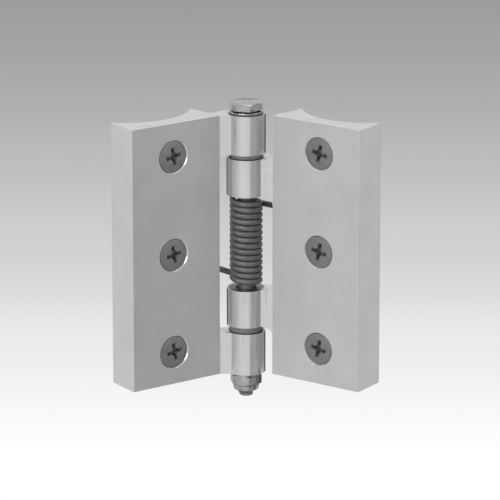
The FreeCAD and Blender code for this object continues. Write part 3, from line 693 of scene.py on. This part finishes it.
def makeLeaf(side):
    bm = leafBlank()
    bore, mouth, throat, deep = leaf["bore"], countersink["mouth"], countersink["throat"], countersink["deep"]
    bm = combined(bm, turned([(0, -60), (bore, -60), (bore, 60), (0, 60)], steps=56), "DIFFERENCE")
    for notch in notches[side]:
        bm = combined(bm, notchBlock(*notch), "DIFFERENCE")
    darkenNotches(bm)
    slope = (mouth - throat) / math.tan(countersink["halfAngle"])
    for step in (-1, 0, 1):
        hole = turned([(0, 1), (mouth + countersink["flare"], 1), (throat, -slope), (throat, -deep), (0, -deep)],
                      steps=72)
        bmesh.ops.rotate(hole, verts=hole.verts, matrix=Matrix.Rotation(math.pi / 2, 3, "X"))
        bmesh.ops.translate(hole, verts=hole.verts, vec=(leaf["gap"] + leaf["inset"], leaf["setOut"],
                                                         leaf["holeLift"][side] + step * leaf["rise"]))
        bm = combined(bm, hole, "DIFFERENCE")
    if side == "gate":
        tail = leaf["tail"]
        hole = turned([(0, 0), (tail["radius"], 0), (tail["radius"], tail["end"]), (0, tail["end"])], steps=32)
        bmesh.ops.rotate(hole, verts=hole.verts, matrix=Matrix.Rotation(math.pi / 2, 3, "Y"))
        bmesh.ops.translate(hole, verts=hole.verts, vec=(0, tail["aside"], tail["height"]))
        bm = combined(bm, hole, "DIFFERENCE")
        bmesh.ops.rotate(bm, verts=bm.verts, matrix=Matrix.Rotation(-hinge["fold"], 3, "Z"))
    else:
        bmesh.ops.scale(bm, vec=(-1, 1, 1), verts=bm.verts)
        bmesh.ops.reverse_faces(bm, faces=bm.faces)
    bmesh.ops.remove_doubles(bm, verts=bm.verts, dist=0.002)
    bmesh.ops.recalc_face_normals(bm, faces=bm.faces)
    shadeLeaf(bm)
    addPiece(side + "Leaf", bm, side + "_side", (leafFinish, cutFinish, paintedShadeBlack), side + "_leaf",
             smoothUnder=None)


makeLeaf("post")
makeLeaf("gate")
print("leaves made")

# Hinge bolt, in mm: a hexagon head with a turned crown on a small seat, a plain shank, and a thread at the end
bolt = {
    "flats": 11.1,
    "turn": math.radians(-90 + 14) - hinge["fold"] / 2,  # a corner stands a little right of the front
    "headUnder": 51.6,
    "headTop": 54.5,
    "crown": 0.475,  # radius of the flat top, in widths across flats
    "crownSlope": 0.5,
    "seat": 4.9,
    "seatUnder": 51.08,
    "shank": 3.175,
    "threadTop": -47.0,
    "end": -59.7,
    "point": 0.35,
    "core": 2.6,
    "crest": 3.12,
    "pitch": 1.27,
}
pastCorners = 0.7  # widths across flats, a little more than a hexagon's corners reach


def hingeBolt():
    top, headUnder, across = bolt["headTop"], bolt["headUnder"], bolt["flats"]
    reach, flatTop = across * pastCorners, across * bolt["crown"]
    crown = turned([(0, headUnder - 1), (reach, headUnder - 1), (reach, top - (reach - flatTop) * bolt["crownSlope"]),
                    (flatTop, top), (0, top)], steps=72)
    bm = combined(hexBar(across, headUnder, top + 1, bolt["turn"]), crown, "INTERSECT")
    seat, seatUnder, shank, core = bolt["seat"], bolt["seatUnder"], bolt["shank"], bolt["core"]
    threadTop, end = bolt["threadTop"], bolt["end"]
    bm = joined(bm, turned([
        (0, headUnder + 0.5), (seat, headUnder + 0.5), (seat, seatUnder), (shank, seatUnder), (shank, threadTop),
        (core, threadTop - 0.5), (core, end + bolt["point"]), (core - bolt["point"], end), (0, end)], steps=48))
    bm = joined(bm, threadRidge(core - 0.05, bolt["crest"], bolt["pitch"], end + 0.25, threadTop - 0.2))
    # painted shade in the gap under the head, and dull plating on all that is below it
    for face in bm.faces:
        spot = face.calc_center_median()
        inGap = seatUnder - 0.1 < spot.z < headUnder + 0.05
        if inGap and (abs(face.normal.z) > 0.7 or spot.xy.length < seat + 0.1):
            # painted shade: the gap under the head gets the near-black material
            face.material_index = 1
        elif spot.z < seatUnder + 0.01:
            face.material_index = 2
    addPiece("hingeBolt", bm, "post_side", (zincPlate, paintedShadeBlack, dullPlate), "hinge_bolt")


hingeBolt()

# Lock nut, in mm: a hexagon with chamfered ends and a rolled collar over its nylon ring
nut = {
    "flats": 10.9,
    "turn": bolt["turn"] - math.radians(4),
    "top": -50.9,
    "hexEnd": -55.3,
    "end": -57.5,
    "topFlat": 0.485,  # radii of the flat ends, in widths across flats
    "underFlat": 0.46,
    "chamfer": 0.55,
    "underChamfer": 1.6,  # the lower chamfer is this many times as long
    "collar": 4.9,
    "rollIn": 1.1,
    "rollUp": 1.2,
    "lip": 3.6,
    "bore": 3.185,
    "ring": 4.0,
    "ringLow": -57.1,
    "ringHigh": -55.4,
    "ringPlay": 0.01,
}


def lockNut():
    top, end, across, collar = nut["top"], nut["end"], nut["flats"], nut["collar"]
    hexUnder, reach = nut["hexEnd"] + 0.05, across * pastCorners
    ease = (reach - across * nut["topFlat"]) * nut["chamfer"]
    blank = turned([(0, top), (across * nut["topFlat"], top), (reach, top - ease),
                    (reach, nut["hexEnd"] + ease * nut["underChamfer"]), (across * nut["underFlat"], hexUnder),
                    (0, hexUnder)], steps=72)
    bm = combined(hexBar(across, nut["hexEnd"] - 1, top + 1, nut["turn"]), blank, "INTERSECT")
    roll = [(collar - nut["rollIn"] * (1 - math.cos(a)), end + nut["rollUp"] * (1 - math.sin(a)))
            for a in (math.radians(15 * i) for i in range(7))]
    bm = combined(bm, turned([(0, nut["hexEnd"] + 1), (collar, nut["hexEnd"] + 1), *roll, (0, end)]), "UNION")
    bore = turned([(0, top + 2), (nut["bore"], top + 2), (nut["bore"], nut["ringHigh"]),
                   (nut["ring"], nut["ringHigh"]), (nut["ring"], nut["ringLow"]), (nut["lip"], nut["ringLow"]),
                   (nut["lip"] + 0.15, end - 1), (0, end - 1)])
    bm = combined(bm, bore, "DIFFERENCE")
    addPiece("lockNut", bm, "post_side", zincPlate, "lock_nut")


def nutInsert():
    play = nut["ringPlay"]
    bm = turnedRing(nut["bore"], nut["ring"] - play, nut["ringLow"] + play, nut["ringHigh"] - play, 0.15)
    addPiece("nutInsert", bm, "post_side", paleNylon, "nut_insert")


lockNut()
nutInsert()
print("bolt and nut made")

# Countersunk screws, in mm: a head with a rounded rim, a plain neck and a thread to a blunt point
screw = {
    "head": 6.0,
    "rim": ((0.22, 0), (0.06, 0.05), (0, 0.16)),  # how far in and down the rim's corners lie
    "neck": 2.8,
    "threadTop": -7.85,
    "core": 2.5,
    "crest": 3.1,
    "pitch": 1.41,
    "end": -25.4,
    "point": (0.7, 1.0),  # how far in and up the point starts
    "sink": 0.2,  # below the leaf's face
}
# Cross recess: four flared wings with a broken edge, and a tapered heart
recess = {
    "turn": math.radians(11),
    "depth": 2.6,
    "reach": 3.4,
    "wide": 0.74,
    "floorReach": 2.2,
    "floorWide": 0.5,
    "brokenEdge": 0.14,
    "heart": (0.9625, 1.925, 3.25),  # radius at the floor, radius at the top, length
    "aside": {"post": 0.45, "gate": 0.0},  # punched a little off centre
}


# A tapered cutter: a flat-ended block whose lower end is drawn in
def recessCutter(halfLong, halfWide, lowLong, lowWide, depth):
    bm = bmesh.new()
    bmesh.ops.create_cube(bm, size=2)
    for v in bm.verts:
        low = v.co.z < 0
        v.co.x *= lowLong if low else halfLong
        v.co.y *= lowWide if low else halfWide
        v.co.z = -depth if low else 0.05
    return bm


def screwBlank(aside):
    head, neck, threadTop, core, end = (screw[each] for each in ("head", "neck", "threadTop", "core", "end"))
    rim = [(head - inward, -down) for inward, down in screw["rim"]]
    under = rim[-1][1] - (head - neck) / math.tan(countersink["halfAngle"])
    pointIn, pointUp = screw["point"]
    body = turned([(0, 0), *rim, (neck, under), (neck, threadTop), (core, threadTop - 0.4), (core, end + pointUp),
                   (core - pointIn, end), (0, end)], steps=56)
    depth, reach, wide, broken = (recess[each] for each in ("depth", "reach", "wide", "brokenEdge"))
    cutters = []
    for turn in (0, math.pi / 2):
        for sizes in ((reach, wide, recess["floorReach"], recess["floorWide"], depth),
                      (reach + broken, wide + broken, reach, wide, broken)):
            wing = recessCutter(*sizes)
            bmesh.ops.rotate(wing, verts=wing.verts, matrix=Matrix.Rotation(turn, 3, "Z"))
            cutters.append(wing)
    heart = bmesh.new()
    low, high, long = recess["heart"]
    bmesh.ops.create_cone(heart, cap_ends=True, segments=8, radius1=low, radius2=high, depth=long)
    bmesh.ops.rotate(heart, verts=heart.verts, matrix=Matrix.Rotation(math.pi / 8, 3, "Z"))
    bmesh.ops.translate(heart, verts=heart.verts, vec=(0, 0, long / 2 - depth))
    for cutter in cutters + [heart]:
        bmesh.ops.translate(cutter, verts=cutter.verts,
                            vec=(aside * math.cos(recess["turn"]), -aside * math.sin(recess["turn"]), 0))
        body = combined(body, cutter, "DIFFERENCE")
    return joined(body, threadRidge(core - 0.05, screw["crest"], screw["pitch"], end + 0.4, threadTop - 0.05))


# Copies the pattern screw into one hole; the two leaves mirror each other
def placeScrew(pattern, side, label, step):
    bm = pattern.copy()
    outward, fold = (1, hinge["fold"]) if side == "gate" else (-1, 0.0)
    alongLeaf = Matrix.Rotation(-fold, 3, "Z")
    facing = alongLeaf @ Matrix.Rotation(math.pi / 2, 3, "X") @ Matrix.Rotation(-outward * recess["turn"], 3, "Z")
    bmesh.ops.rotate(bm, verts=bm.verts, matrix=facing)
    place = alongLeaf @ Vector((outward * (leaf["gap"] + leaf["inset"]), leaf["setOut"] + screw["sink"], 0))
    place.z = leaf["holeLift"][side] + step * leaf["rise"]
    bmesh.ops.translate(bm, verts=bm.verts, vec=place)
    addPiece(side + "Screw" + label.capitalize(), bm, side + "_side", dullPlate,
             side + "_screw_" + label)


for side in ("post", "gate"):
    pattern = screwBlank(recess["aside"][side])
    for label, step in (("top", 1), ("middle", 0), ("bottom", -1)):
        placeScrew(pattern, side, label, step)
    pattern.free()
print("screws placed")

# Torsion spring, in mm: wound left-handed from round wire, its top turn widening and dropping into a tail
spring = {
    "wire": 1.14,  # radius
    "coil": 5.1,  # radius to the wire's middle
    "pitch": 2.31,
    "turns": 14 + 35.6 / 360,
    "low": -15.1,
    "flare": 110,  # degrees before the end where the turn starts to widen
    "dive": 70,  # and where it is at its widest and starts to drop
    "tailOut": 7.6,
    "tailDrop": 3.6,
    "tailReach": 14.4,
    "lowerHeading": 144.0,  # degrees
    "lowerRun": 18.25,
    "lowerRise": 0.33,
}


def eased(share):
    return 0.5 - 0.5 * math.cos(math.pi * min(1.0, max(0.0, share)))


# Control points from the lower tail's end, up the coil, to the upper tail's end
def springRoute():
    step = 15
    fuller = 3 / (2 + math.cos(math.radians(step)))  # the curve runs inside its control points
    coil, low, pitch, flare, dive = (spring[each] for each in ("coil", "low", "pitch", "flare", "dive"))
    sweep = spring["turns"] * 360
    heading = math.radians(spring["lowerHeading"])
    way = Vector((math.cos(heading), math.sin(heading), spring["lowerRise"]))

    def around(turnedBy, distance, height):
        angle = heading - math.pi / 2 - math.radians(turnedBy)
        return Vector((distance * math.cos(angle), distance * math.sin(angle), height))

    start = around(0, coil, low)
    points = [start + way * (spring["lowerRun"] * share) for share in (1.0, 0.6, 0.25, 0.06)]
    turnedBy = step / 2
    while turnedBy < sweep:
        left = sweep - turnedBy
        wide = coil + (spring["tailOut"] - coil) * eased((flare - left) / (flare - dive))
        sink = spring["tailDrop"] * eased((dive - left) / dive)
        points.append(around(turnedBy, wide * fuller, low + turnedBy * pitch / 360 - sink))
        turnedBy += step
    end = around(sweep, spring["tailOut"], low + sweep * pitch / 360 - spring["tailDrop"])
    along = Vector((math.cos(hinge["fold"]), -math.sin(hinge["fold"]), 0))
    return points + [end + along * (spring["tailReach"] * share) for share in (0.04, 0.3, 0.6, 1.0)]


def torsionSpring():
    curve = bpy.data.curves.new("springWire", "CURVE")
    curve.dimensions = "3D"
    curve.bevel_depth, curve.bevel_resolution, curve.use_fill_caps = spring["wire"], 5, True
    points = springRoute()
    line = curve.splines.new("NURBS")
    line.points.add(len(points) - 1)
    for spot, place in zip(line.points, points):
        spot.co = (*place, 1)
    line.order_u = 4
    line.use_endpoint_u = True
    line.resolution_u = 3
    wire = bpy.data.objects.new("springWire", curve)
    bpy.context.scene.collection.objects.link(wire)
    bpy.context.view_layer.update()
    bm = bmesh.new()
    bm.from_mesh(wire.evaluated_get(bpy.context.evaluated_depsgraph_get()).to_mesh())
    bpy.data.objects.remove(wire)
    piece = addPiece("torsionSpring", bm, None, springWire, "torsion_spring", smoothUnder=60)
    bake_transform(piece)


torsionSpring()
print("spring wound")
